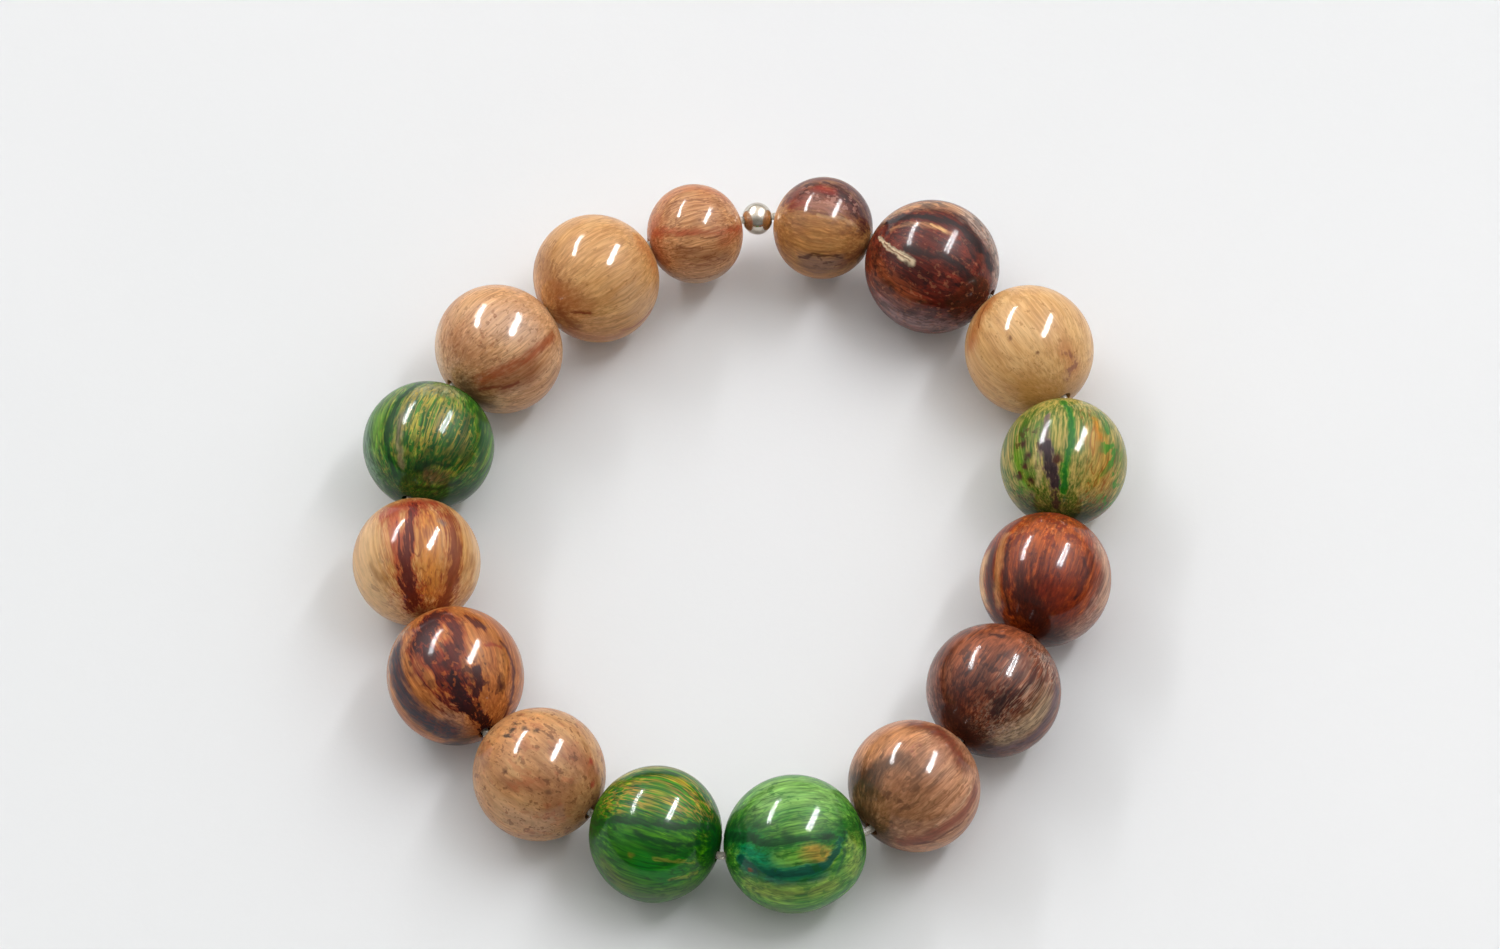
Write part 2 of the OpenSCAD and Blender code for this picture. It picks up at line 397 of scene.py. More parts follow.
# The metal ball between the two small beads: a drilled, polished ball of warm silver metal that
# hangs on the cord, well clear of the surface.
BALL_HOLE = 1.2 * MM
BALL_HEADING = 8.8
BALL_FLAT = 0.1 * MM
low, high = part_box("metal_ball")
ball_half = (high.z - low.z) / 2
ball = drilled("polished_ball", (low + high) / 2, BALL_HEADING, ball_half,
               ball_half - BALL_FLAT, BALL_HOLE / 2, lambda point: point)
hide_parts("metal_ball")
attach(ball, "root")
polished = bpy.data.materials.new("polished_metal")
polished.use_nodes = True
metal = polished.node_tree
metal.nodes.clear()
here = put(metal, "TexCoord", {}).outputs["Object"]
rubbed = grain(metal, vector_of(metal, "MULTIPLY", here, (1, 1, 0.2)), 2.0, 6000.0, 3)
stained = grain(metal, here, 4.0, 700.0, 3)
silver = blended(metal, eased(metal, stained, 0.4, 0.65, 0, 0.6), dye("CFC8BC"), dye("A89A86"))
rubs = put(metal, "Bump", {"Height": rubbed, "Strength": 0.08, "Distance": 0.05 * MM})
shader = put(metal, "BsdfPrincipled", {
    "Base Color": silver, "Metallic": 1.0, "Normal": rubs.outputs[0],
    "Roughness": eased(metal, stained, 0.35, 0.7, 0.1, 0.24)})
put(metal, "OutputMaterial", {"Surface": shader.outputs[0]})
ball.data.materials.append(polished)

# The second small bead: its top is red-brown, mauve and purple, a wavy pale edge crosses its
# middle, and below that it is golden ochre.
bead_02 = lacquered_bead("bead_02", heading=-14.0, longer=-0.3)
ochre = BarkAndPaintedLight(bead_02, 2, ground="B27C4A", pale="C6965E", deep="88583A", broad=0.4, strips=0.4,
             fine=0.4, fineness=20)
ochre.patch("6A3026", [(-0.55, 0.66), (0.1, 0.62), (0.62, 0.36)], 0.66, 0.95)
ochre.patch("5A2422", [(-0.5, 0.84), (0.2, 0.95), (0.74, 0.62), (0.96, 0.2)], 0.36, 0.95)
ochre.patch("9A6A5C", [(-0.18, 0.5), (0.2, 0.36)], 0.3, 0.8)
ochre.patch("40161A", [(0.3, 0.72), (0.6, 0.5), (0.84, 0.06)], 0.36, 0.9)
ochre.patch("4E1C1C", [(0.5, 0.8), (0.82, 0.5), (0.95, 0.16)], 0.36, 0.95)
ochre.specks("34100F", 6, 0.52, 0.8, [(-0.4, 0.76), (0.1, 0.76), (0.7, 0.4)], 0.7)
ochre.specks("C08C7C", 9, 0.55, 0.5, [(-0.2, 0.6), (0.5, 0.46)], 0.6)
ochre.patch("8E2A1C", [(-0.08, 0.78), (0.16, 0.72)], 0.2, 0.8)
ochre.patch("8A3A2A", [(-0.66, 0.42), (-0.4, 0.5)], 0.24)
ochre.streak("C8A070", [(-0.1, 0.24), (0.15, 0.2), (0.4, 0.16), (0.66, 0.02)], 0.06, soft=0.95,
             strength=0.5)
ochre.hairs("6A3E20", 15, 0.07, 0.2)
ochre.patch("84604C", [(-0.26, -0.7), (0.22, -0.72)], 0.42, 0.95)
ochre.streak("4A2410", [(-0.46, -0.6), (-0.2, -0.5), (0.1, -0.54), (0.36, -0.58)], 0.06,
             soft=0.95, fray=4.0, strength=0.85)
ochre.specks("4A2410", 7, 0.56, 0.7, [(-0.3, -0.6), (0.3, -0.7)], 0.4)
ochre.patch("6A3A2A", [(0.4, -0.7), (0.75, -0.45)], 0.24)
# Painted reflection: the pale floor mirrored along the bottom edge.
ochre.patch("BE9070", [(-0.4, -0.94), (0.4, -0.94)], 0.16)
ochre.lacquer(contrast=0.08, mottle=0.3, depth=1.04)

# A full-size bead of the darkest bark: mahogany, with a black-maroon strip that curves over its
# top inside a tan edge, and straw-coloured slivers.
bead_03 = lacquered_bead("bead_03", heading=-30.9, longer=0.2)
mahogany = BarkAndPaintedLight(bead_03, 3, ground="6A2A20", pale="804034", deep="3C130F", strips=0.3, fine=0.4,
                fineness=20)
mahogany.patch("BC8E68", [(-0.66, 0.72), (-0.3, 0.9), (0.3, 0.9), (0.72, 0.64)], 0.3, 0.9)
# Painted reflection: a grey-tan band of the pale room mirrored along the right and upper right
# edge.
mahogany.patch("A89486", [(0.64, 0.68), (0.88, 0.32), (0.96, -0.06)], 0.44, 0.8)
mahogany.patch("8A4E38", [(-0.82, -0.05), (-0.45, -0.42)], 0.44, 0.8)
# Painted reflection: a pinkish-grey haze of the pale floor mirrored across the bottom.
mahogany.patch("8C7070", [(-0.6, -0.68), (-0.1, -0.86), (0.45, -0.84)], 0.46, 0.85)
mahogany.patch("2A0C0A", [(0.3, -0.55), (0.75, -0.3)], 0.4, 0.8)
mahogany.specks("2C0A0A", 4, 0.54, 0.55)
mahogany.specks("9E6850", 13, 0.58, 0.45)
mahogany.specks("1E0608", 11, 0.58, 0.5)
mahogany.streak("1E0607", [(-0.66, 0.66), (-0.25, 0.76), (0.07, 0.72), (0.34, 0.62), (0.58, 0.44),
                           (0.74, 0.26), (0.86, 0)], (0.14, 0.2), soft=0.8, strength=0.95,
                fringe="4E1A12")
mahogany.streak("A87858", [(-0.6, 0.56), (-0.28, 0.64), (0.02, 0.6), (0.26, 0.5)], 0.07,
                soft=0.9, strength=0.8)
mahogany.streak("E2CFB0", [(-0.8, 0.43), (-0.56, 0.24), (-0.3, 0.05)], (0.04, 0.12), fray=0.8)
mahogany.streak("7A5038", [(-0.72, 0.36), (-0.34, 0.07)], 0.025, soft=0.9, fray=0.8)
mahogany.streak("3A1410", [(-0.66, 0.2), (-0.38, -0.02)], 0.06, soft=0.9)
mahogany.streak("D0A878", [(-0.02, 0.62), (0.2, 0.52)], (0.03, 0.07), soft=0.8)
mahogany.streak("180505", [(-0.36, 0.26), (0.1, 0.15), (0.4, 0), (0.62, -0.2)], 0.13, soft=0.9)
mahogany.streak("6E3426", [(0.72, 0.12), (0.84, -0.25)], 0.1, soft=0.95)
mahogany.hairs("240A08", 10, 0.06, 0.5)
mahogany.lacquer(contrast=0.3, mottle=0.4, depth=1.1)

# The palest bead: honey-tan, with fine slanting fibres, and a purple crack at its right edge.
bead_04 = lacquered_bead("bead_04", heading=-58.7, longer=0.2)
honey = BarkAndPaintedLight(bead_04, 4, ground="D7A66A", pale="E3BD87", deep="B6814A", broad=0.3, strips=0.25,
             fine=0.35, fineness=20)
honey.patch("B08458", [(0.4, -0.6), (0.65, -0.6)], 0.5)
honey.patch("BC8648", [(-0.1, -0.6), (0.2, -0.8)], 0.5)
honey.patch("C07E4A", [(0.56, 0.02), (0.68, -0.3)], 0.24)
honey.patch("B46A32", [(-0.6, 0.76), (-0.8, 0.42), (-0.9, 0.1)], 0.28, 0.85)
honey.hairs("8A5A30", 16, 0.06, 0.3)
honey.streak("7E4A40", [(0.56, -0.04), (0.68, -0.12), (0.72, -0.22), (0.6, -0.32), (0.58, -0.44)],
             0.06, soft=0.95, fray=3.5, strength=0.7)
honey.streak("8A4A24", [(-0.66, 0.7), (-0.78, 0.36)], 0.04, soft=0.9)
honey.spots("6E4024", [(-0.29, 0.18), (0.13, -0.04)], 0.06)
honey.specks("96622F", 14, 0.64, 0.5)
honey.lacquer(contrast=0.07, mottle=0.05)

# The olive bead at the right: bark half dyed green, in upright stripes of olive, strong green
# and orange, with a purple-brown strip left of its middle.
bead_05 = lacquered_bead("bead_05", heading=-93.6, longer=0.4)
olive = BarkAndPaintedLight(bead_05, 5, ground="7C7D3B", pale="B69E5F", deep="37651C", strips=0.4, fine=0.85,
             fineness=27)
# Painted shade: the bottom darkened to a deep green.
olive.patch("1E3010", [(-0.4, -0.78), (0.4, -0.8)], 0.66, 0.95)
olive.patch("BC8A46", [(0.55, 0.3), (0.6, -0.35)], 0.4, 0.6)
olive.patch("6E9A34", [(-0.72, 0.1), (-0.62, -0.3)], 0.24)
olive.patch("C8B57C", [(-0.4, 0.2), (-0.38, -0.3)], 0.1, 0.8)
olive.hairs("8A4A20", 8, 0.05, 0.8, [(0.5, 0.6), (0.55, -0.5)], 0.6)
olive.hairs("2A7A1A", 11, 0.06, 0.8, [(-0.6, 0.5), (-0.55, -0.4)], 0.6)
olive.streak("6A5450", [(-0.26, 0.74), (-0.26, 0.2)], (0.06, 0.14), soft=0.95, fray=2.4)
olive.streak("2A1620", [(-0.28, 0.26), (-0.22, -0.05), (-0.12, -0.34)], (0.2, 0.14), soft=0.7,
             fringe="5A4448")
olive.streak("3A2424", [(-0.12, -0.46), (-0.12, -0.66)], 0.1)
olive.streak("17621A", [(0, 0.95), (0.12, 0.7), (0.13, 0.34), (0.04, 0), (0, -0.45)], 0.09,
             soft=0.8, fringe="3E8A2A")
olive.streak("C07A34", [(0.5, 0.66), (0.56, 0.4)], 0.12, soft=0.9, strength=0.7)
olive.specks("237A20", 5, 0.53, 0.85, [(0.7, 0.4), (0.72, -0.5)], 0.5)
olive.specks("44200A", 9, 0.57, 0.8, [(-0.6, 0.35), (-0.6, -0.5)], 0.5)
olive.spots("44200A", [(-0.56, 0.12), (-0.6, -0.04), (-0.52, -0.28), (-0.66, -0.2), (-0.08, 0.08),
                       (-0.62, 0.3)], 0.13, 1.0)
olive.lacquer(contrast=0.25, mottle=0.2, uneven=0.1, depth=1.08)

# A russet bead in upright streaks, which end in golden, purple-grey and cream strips at its
# left edge.
bead_06 = lacquered_bead("bead_06", heading=-104.6, longer=0.4)
russet = BarkAndPaintedLight(bead_06, 6, ground="83361E", pale="A05430", deep="4E180E", fine=0.6, fineness=22)
russet.patch("B25C30", [(-0.3, 0.66), (0.34, 0.62)], 0.56, 0.8)
russet.patch("8A3418", [(0.2, -0.1), (0.45, -0.3)], 0.4)
# Painted reflection: the pale floor mirrored as a pinkish-tan band low on the right.
russet.patch("AA8270", [(0.3, -0.84), (0.62, -0.66), (0.84, -0.36)], 0.46, 0.95)
# Painted reflection: a pale pinkish band of the room mirrored along the right edge.
russet.patch("B88E74", [(0.84, 0.46), (0.94, 0.15), (0.9, -0.3)], 0.34, 1.0)
russet.patch("30100A", [(-0.22, -0.3), (-0.1, -0.6), (0.12, -0.86)], 0.54, 0.95)
russet.streak("3A140C", [(-0.34, 0.12), (-0.3, -0.2), (-0.2, -0.5)], (0.16, 0.34), soft=0.9)
russet.patch("6A2010", [(0.1, -0.1), (0.3, -0.5)], 0.4)
russet.hairs("4A140A", 15, 0.07, 0.45)
russet.specks("C07848", 15, 0.58, 0.5, [(-0.4, 0.75), (0.4, 0.75)], 0.7)
russet.specks("48140C", 12, 0.57, 0.55, [(-0.3, 0.5), (0.2, 0.2)], 0.9)
russet.specks("6A1E0C", 8, 0.52, 0.75, [(-0.5, 0.7), (0.4, 0.7)], 0.8)
russet.patch("D4AA7A", [(-0.93, 0.25), (-0.97, 0), (-0.92, -0.3)], 0.3, 0.9)
russet.streak("4A2420", [(-0.78, 0.42), (-0.84, 0), (-0.78, -0.4), (-0.64, -0.62)], 0.17,
              soft=0.9)
russet.streak("B07A50", [(-0.6, 0.66), (-0.7, 0.2), (-0.7, -0.35)], 0.12, soft=0.95)
russet.streak("3A120C", [(-0.52, 0.6), (-0.6, 0), (-0.52, -0.5)], 0.07, soft=0.9)
russet.streak("4A1810", [(0.6, 0.32), (0.61, 0.06), (0.45, -0.27)], 0.07, soft=0.9)
russet.lacquer(contrast=0.32, mottle=0.32, depth=1.06)

# A red-brown bead whose fibres slant down to the left, from an orange top to a nearly black
# lower left, with silvery streaks at the right, and painted reflections of the pale floor: a
# beige band low on its right and a pale band along its left edge.
bead_07 = lacquered_bead("bead_07", heading=-122.6, longer=-0.3)
umber = BarkAndPaintedLight(bead_07, 7, ground="703826", pale="905A42", deep="421810", fine=0.6, fineness=22)
umber.patch("9A5638", [(-0.35, 0.66), (0.3, 0.78)], 0.6)
# Painted reflection: a pale band mirrored along the left edge.
umber.patch("9A7468", [(-0.9, 0.25), (-0.93, -0.2)], 0.26)
umber.patch("2A0E0C", [(-0.66, -0.3), (-0.4, -0.6), (-0.05, -0.86)], 0.5, 0.95)
umber.patch("4A1A10", [(-0.5, 0), (-0.1, 0)], 0.5, 0.6)
# Painted reflection: the pale floor mirrored as a beige band low on the right.
umber.patch("AA9070", [(0.2, -0.72), (0.48, -0.52), (0.78, -0.24)], 0.4, 0.85)
umber.hairs("2E100A", 13, 0.07)
umber.hairs("B89A82", 21, 0.08, 0.6, [(0.85, 0.35), (0.5, 0.05), (0.2, -0.45)], 0.7)
umber.streak("240C0A", [(0.02, -0.3), (0.16, -0.14), (0.32, 0)], 0.15, soft=0.9, fray=3.0)
umber.streak("5A4248", [(0.93, 0), (0.84, -0.33), (0.58, -0.68), (0.06, -0.87)], 0.18, soft=0.9)
umber.streak("30120E", [(-0.06, 0.8), (0.14, 0.79)], 0.08, soft=0.9)
umber.specks("34120C", 7, 0.53, 0.75, [(-0.4, 0.3), (0.1, 0)], 0.9)
umber.lacquer(contrast=0.3, mottle=0.34, depth=1.06)

# A brown-tan bead with smoky smudges on its left side and a pinkish band low on its right.
bead_08 = lacquered_bead("bead_08", heading=-132.6, longer=-0.6)
smoky = BarkAndPaintedLight(bead_08, 8, ground="B87E58", pale="CA9672", deep="885238", strips=0.3, fine=0.35,
             fineness=17)
smoky.patch("CE8C56", [(-0.6, 0.55), (-0.1, 0.8)], 0.4)
smoky.patch("7E5232", [(-0.6, 0.05), (0, 0.05)], 0.6, 0.6)
smoky.patch("7E5834", [(-0.5, -0.35), (0.1, -0.4)], 0.5, 0.5)
smoky.patch("3C281A", [(-0.8, -0.35), (-0.5, -0.72)], 0.46, 0.85)
smoky.patch("34261A", [(-0.92, 0.1), (-0.66, 0.02)], 0.4, 0.95)
smoky.patch("6A2E1A", [(-0.02, 0.93), (0.35, 0.8)], 0.3, 0.85)
smoky.patch("6E2C1A", [(0.42, 0.8), (0.7, 0.4)], 0.32, 0.9)
smoky.streak("3E2A1A", [(-0.92, -0.04), (-0.7, 0.14), (-0.45, 0.34), (-0.2, 0.38)], 0.2,
             soft=0.95, strength=0.8)
smoky.streak("84402C", [(0.92, -0.05), (0.77, -0.34), (0.35, -0.68), (-0.2, -0.86)], 0.22,
             soft=0.8)
smoky.streak("6A3626", [(0.8, -0.42), (0.42, -0.74), (0, -0.88)], 0.05, soft=0.9)
smoky.streak("CCA07A", [(0.84, 0), (0.7, -0.28), (0.3, -0.58)], 0.05, soft=0.9, strength=0.7)
smoky.specks("4E301C", 5, 0.54, 0.6, [(-0.8, 0), (-0.2, 0.2), (-0.3, -0.3)], 0.8)
smoky.specks("8E3E40", 9, 0.55, 0.5, [(0, 0.56), (0.1, 0.45)], 0.2)
smoky.hairs("6A4226", 12, 0.07, 0.5)
smoky.specks("6E4226", 9, 0.6, 0.4)
smoky.lacquer(mottle=0.22, uneven=0.06)

# The bright green bead at the front, which is lopsided: a swelling stands out towards its right.
# A dark contour closes a lens of teal and orange bark across its middle.
BULGE_D = 11.6 * MM
BULGE_OUT = 0.4 * MM
BULGE_HEADING = radians(-16)
BULGE_DIP = radians(8)
BULGE_BLEND = 0.15 * MM
HEADING_09 = -169.8


def swollen(way, reach, half_width):
    """The reach of a bead's skin where a second, smaller ball pushes it out."""
    out = Vector((cos(BULGE_HEADING) * cos(BULGE_DIP), sin(BULGE_HEADING) * cos(BULGE_DIP),
                  -sin(BULGE_DIP)))
    ahead = Vector((cos(radians(HEADING_09)), sin(radians(HEADING_09)), 0))
    outward = Vector((-ahead.y, ahead.x, 0))
    ball_at = half_width + BULGE_OUT - BULGE_D / 2
    along = ball_at * way.dot(Vector((out.dot(outward), out.z, out.dot(ahead))))
    second = along + sqrt((BULGE_D / 2) ** 2 - ball_at ** 2 + along ** 2)
    return (reach + second + sqrt((reach - second) ** 2 + BULGE_BLEND ** 2)) / 2


bead_09 = lacquered_bead("bead_09", heading=HEADING_09, longer=0.2, bulge=swollen)
emerald = BarkAndPaintedLight(bead_09, 9, ground="3C862C", pale="80AA50", deep="165A20", strips=0.4,
               fineness=17)
emerald.patch("84AE64", [(-0.35, 0.7), (0.45, 0.72)], 0.6, 0.75)
emerald.patch("10431A", [(-0.96, 0.2), (-0.6, 0.16)], 0.46, 0.95)
emerald.patch("14501E", [(0.5, 0.16), (0.95, 0.22)], 0.3, 0.8)
emerald.patch("1E8A5C", [(-0.66, -0.06), (-0.36, -0.22)], 0.34, 0.9)
emerald.patch("6EA046", [(-0.2, -0.16), (0.15, -0.2)], 0.26)
emerald.patch("B08E48", [(0.24, -0.08), (0.46, -0.18)], 0.26, 0.85)
emerald.patch("14584A", [(-0.66, -0.3), (-0.2, -0.44), (0.35, -0.42)], 0.26, 0.8)
emerald.patch("8EA044", [(-0.6, -0.62), (0, -0.7), (0.55, -0.6)], 0.26)
emerald.patch("8CA248", [(0.84, 0), (0.84, -0.3)], 0.32)
# Painted reflection: a grey-olive haze of the pale floor along the bottom edge.
emerald.patch("5A6A3E", [(-0.3, -0.93), (0.4, -0.93)], 0.26)
emerald.hairs("0F4E18", 12, 0.07)
emerald.streak("0A3A18", [(-0.97, 0.1), (-0.6, 0.08), (-0.34, 0), (0, 0.03), (0.35, 0.07),
                          (0.72, 0.12)], (0.2, 0.11), soft=0.95, strength=0.85,
               fringe="1E6A2A")
emerald.streak("104A3A", [(-0.72, -0.22), (-0.56, -0.36), (-0.3, -0.42), (0, -0.42), (0.3, -0.37),
                          (0.5, -0.26), (0.62, -0.08), (0.66, 0.1)], (0.2, 0.08), soft=0.98,
               fringe="1E6A48")
emerald.streak("12482A", [(0.66, 0.1), (0.72, -0.12), (0.62, -0.42)], 0.06, soft=0.95,
               strength=0.6)
emerald.streak("0E4620", [(0.88, 0.35), (0.97, 0.1), (0.96, -0.15)], 0.07, soft=0.9)
emerald.spots("0A3A18", [(-0.12, 0.12), (-0.04, 0.1)], 0.14)
emerald.spots("8A4420", [(-0.62, -0.36)], 0.08, 0.6)
emerald.specks("155A1C", 7, 0.58, 0.5)
emerald.lacquer(contrast=0.32, mottle=0.32, uneven=0.05, depth=1.08)

# The green bead beside it: level green stripes with tan and orange slivers in the upper half,
# and two dark wavy lines across the middle.
bead_10 = lacquered_bead("bead_10", heading=-200.1, longer=-0.5)
grass = BarkAndPaintedLight(bead_10, 10, ground="276D18", pale="568830", deep="0D4412", strips=0.6, fine=0.7,
             fineness=19)
# Painted reflection: a grey-green haze of the pale floor along the bottom.
grass.patch("4A6236", [(-0.3, -0.85), (0.4, -0.85)], 0.44)
grass.patch("5A6430", [(-0.75, -0.45), (-0.5, -0.72)], 0.3)
grass.patch("10401A", [(-0.9, 0.25), (-0.93, -0.1)], 0.36)
grass.patch("10401A", [(0.84, 0.15), (0.88, -0.25)], 0.46, 0.95)
grass.patch("16561A", [(-0.5, -0.1), (0.1, -0.3), (0.4, -0.3)], 0.4)
grass.patch("2E7A3A", [(-0.2, -0.5), (0.3, -0.6)], 0.36)
grass.patch("A89660", [(-0.6, 0.78), (0, 0.97), (0.6, 0.8)], 0.18)
grass.hairs("B89050", 13, 0.1, 0.9, [(-0.5, 0.62), (0.1, 0.62), (0.6, 0.5)], 0.66)
grass.streak("8A8A44", [(0, -0.36), (0.6, -0.42)], 0.04, soft=0.95, fray=4.0, strength=0.6)
grass.streak("8A8A44", [(0.2, -0.66), (0.6, -0.56)], 0.04, soft=0.95, fray=4.0, strength=0.6)
grass.hairs("0A3E10", 9, 0.07, 0.7)
grass.streak("0E4416", [(-0.3, 0.84), (0.3, 0.86)], 0.1, soft=0.9)
grass.streak("0A3812", [(-0.9, 0.14), (-0.5, 0.2), (-0.1, 0.16), (0.2, 0.1), (0.5, 0.13),
                        (0.88, 0.08)], 0.12, soft=0.95, fringe="155A1A")
grass.streak("0A3812", [(-0.3, 0.02), (0, -0.1), (0.4, -0.14), (0.7, -0.12)], 0.08, soft=0.95)
grass.spots("8A7A3A", [(-0.36, -0.3)], 0.08, 0.5)
grass.lacquer(contrast=0.28, mottle=0.2, depth=1.17)

# A mottled tan-brown bead, peppered with fine dark specks, with a few grey-black marks near its
# top.
bead_11 = lacquered_bead("bead_11", heading=-219.2, longer=-0.1)
peppered = BarkAndPaintedLight(bead_11, 11, ground="B7804C", pale="C79761", deep="8F5C37", broad=0.8,
                strips=0.1, fine=0.2, fineness=18)
peppered.patch("CC8848", [(-0.6, 0.5), (-0.2, 0.75)], 0.5)
peppered.patch("966036", [(0.2, -0.4), (0.7, -0.45)], 0.5, 0.6)
peppered.patch("C4966C", [(-0.4, -0.6), (0, -0.75)], 0.4)
peppered.patch("96522E", [(0.5, 0.35), (0.8, 0)], 0.3, 0.65)
peppered.patch("96522E", [(-0.4, -0.14), (0, -0.14)], 0.16, 0.5)
peppered.specks("6A3C1E", 9, 0.59, 0.65)
peppered.specks("6E4022", 22, 0.6, 0.5)
peppered.specks("A85A30", 5, 0.57, 0.4)
peppered.streak("2E2218", [(-0.45, 0.6), (-0.34, 0.74)], 0.1, soft=0.9, fray=3.5)
peppered.spots("2E2218", [(-0.22, 0.68), (-0.05, 0.65)], 0.09, 0.7)
peppered.spots("5A341C", [(-0.5, 0.06), (0.02, 0.05), (-0.28, 0.24), (0.14, -0.26)], 0.07, 0.6)
peppered.spots("9A2E1C", [(0.76, 0.19), (0.8, -0.16)], 0.09)
peppered.lacquer(contrast=0.1, mottle=0.2, uneven=0.05, depth=0.96)

# The most strongly marked bead: orange-tan, with a ragged maroon band from the top left to the
# bottom right, a thin dark arc at the right and a slate-purple edge at the left.
bead_12 = lacquered_bead("bead_12", heading=-243.3, longer=0.4)
tiger = BarkAndPaintedLight(bead_12, 12, ground="AF6833", pale="C2834A", deep="8D4C26", strips=0.3, fine=0.35,
             fineness=20)
tiger.patch("A67456", [(-0.12, -0.5), (0.08, -0.76)], 0.36)
tiger.patch("4E3A20", [(-0.1, -0.88), (0.4, -0.86)], 0.16, 0.9)
# Painted reflection: a pale grey-tan band mirrored along the left and lower edge, outside the
# slate-purple strip.
tiger.patch("A48C78", [(-0.72, 0.66), (-0.97, 0.1), (-0.85, -0.52), (-0.4, -0.92)], 0.16, 0.9)
tiger.streak("30242C", [(-0.86, 0.34), (-0.84, -0.05), (-0.7, -0.4), (-0.48, -0.62),
                        (-0.12, -0.8)], (0.34, 0.4), fray=1.0, strength=1.0)
tiger.hairs("6E2A14", 12, 0.07, 0.5)
tiger.streak("3A0A0A", [(-0.28, 0.86), (-0.46, 0.62), (-0.5, 0.42), (-0.36, 0.26)], (0.34, 0.4),
             soft=0.7, strength=1.0, fringe="842E14")
tiger.streak("3A0A0A", [(-0.36, 0.28), (-0.16, 0.06), (-0.04, -0.14)], (0.34, 0.42), soft=0.7,
             fray=2.4, strength=1.0, fringe="842E14")
tiger.streak("4A120C", [(-0.1, 0.86), (0.03, 0.62), (0.02, 0.42), (-0.08, 0.2)], (0.16, 0.3),
             soft=0.9, fringe="8A3216")
tiger.streak("2C080A", [(-0.02, -0.1), (0.08, -0.34), (0.28, -0.54), (0.46, -0.74)],
             (0.3, 0.16), soft=0.8, fray=2.4, strength=1.0, fringe="6E2412")
tiger.streak("340C0C", [(0.3, 0.1), (0.33, -0.06), (0.28, -0.26)], (0.12, 0.1), soft=0.9,
             fray=3.0, fringe="6E2412")
tiger.streak("4A1A10", [(0.14, 0.86), (0.34, 0.72)], 0.14, soft=0.9, fray=3.0, fringe="8A4020")
tiger.specks("3E0E0A", 6, 0.56, 0.8, [(-0.4, 0.3), (0.1, 0.3), (0.3, -0.2)], 1.0)
tiger.specks("B0582A", 9, 0.6, 0.6, [(-0.4, 0.5), (0, 0.1)], 0.5)
tiger.streak("4E1A12", [(0.66, 0.5), (0.79, 0.3), (0.84, 0.06), (0.83, -0.17), (0.76, -0.45),
                        (0.64, -0.68)], 0.06, soft=0.9)
# Painted reflection: a whitish-grey band mirrored along the right edge.
tiger.patch("A8886E", [(0.92, 0.35), (0.99, 0), (0.92, -0.4)], 0.16, 0.75)
tiger.streak("8E3A20", [(0.42, 0.46), (0.65, 0.42)], 0.05, soft=0.9)
tiger.spots("3E160E", [(0.66, -0.16)], 0.12)
tiger.spots("7A3216", [(-0.6, 0.02)], 0.1, 0.6)
tiger.lacquer(contrast=0.22, mottle=0.2, depth=1.02)

# A bead of cream and golden bark, with dark red and brown strips that run down its middle and
# its right side.
bead_13 = lacquered_bead("bead_13", heading=-261.4, longer=0.1)
cream = BarkAndPaintedLight(bead_13, 13, ground="C58F4D", pale="D6B078", deep="A2602D", broad=0.4, strips=0.4,
             fine=0.4, fineness=17)
cream.patch("D8B080", [(-0.75, 0.4), (-0.78, -0.3), (-0.5, -0.7)], 0.6, 0.95)
cream.patch("D6B288", [(0.9, 0.35), (0.94, -0.2)], 0.24)
cream.patch("C47A2C", [(0.16, 0.7), (0.2, -0.4)], 0.46, 0.9)
cream.patch("92301A", [(-0.4, 0.78), (0.25, 0.92)], 0.36, 0.9)
cream.patch("B4562A", [(-0.34, 0.66), (-0.3, 0.1)], 0.2, 0.85)
cream.hairs("A2441E", 13, 0.1, 0.85, [(-0.3, 0.8), (-0.2, 0), (-0.1, -0.5)], 0.5)
cream.hairs("7A2E14", 11, 0.07, 0.7, [(0.05, 0.9), (0.1, -0.7)], 1.1)
cream.streak("4C0F09", [(-0.04, 0.9), (-0.14, 0.4), (-0.18, -0.04), (-0.06, -0.64)],
             (0.14, 0.26), soft=0.98, fray=3.0, fringe="A23C18")
cream.streak("76301A", [(0.5, 0.7), (0.6, 0.24), (0.52, -0.4), (0.32, -0.76)], (0.2, 0.34),
             soft=0.98, fray=2.4, strength=0.8, fringe="A85A28")
cream.patch("5A1E10", [(-0.02, -0.7), (0.3, -0.84)], 0.26)
cream.patch("A07850", [(-0.72, -0.06), (-0.45, -0.36)], 0.1, 0.6)
cream.specks("8A6A4C", 6, 0.58, 0.6, [(-0.65, 0.1), (-0.6, -0.4)], 0.4)
cream.spots("7A6A5E", [(0.4, 0.62)], 0.12)
cream.hairs("8A2412", 17, 0.09, 0.7, [(-0.4, 0.76), (0.3, 0.84)], 0.6)
cream.lacquer(contrast=0.14)

# The green bead at the left, with yellow-tan flecks, a dark arc round its left side and an
# olive-brown patch low on its right.
bead_14 = lacquered_bead("bead_14", heading=-286.4, longer=-0.3)
moss = BarkAndPaintedLight(bead_14, 14, ground="28661F", pale="5C8436", deep="113C13", strips=0.45, fine=0.6,
            fineness=19)
# Painted shade: the bottom darkened to a deep green.
moss.patch("1A3A1E", [(-0.5, -0.76), (0.1, -0.86), (0.5, -0.76)], 0.6, 1.0)
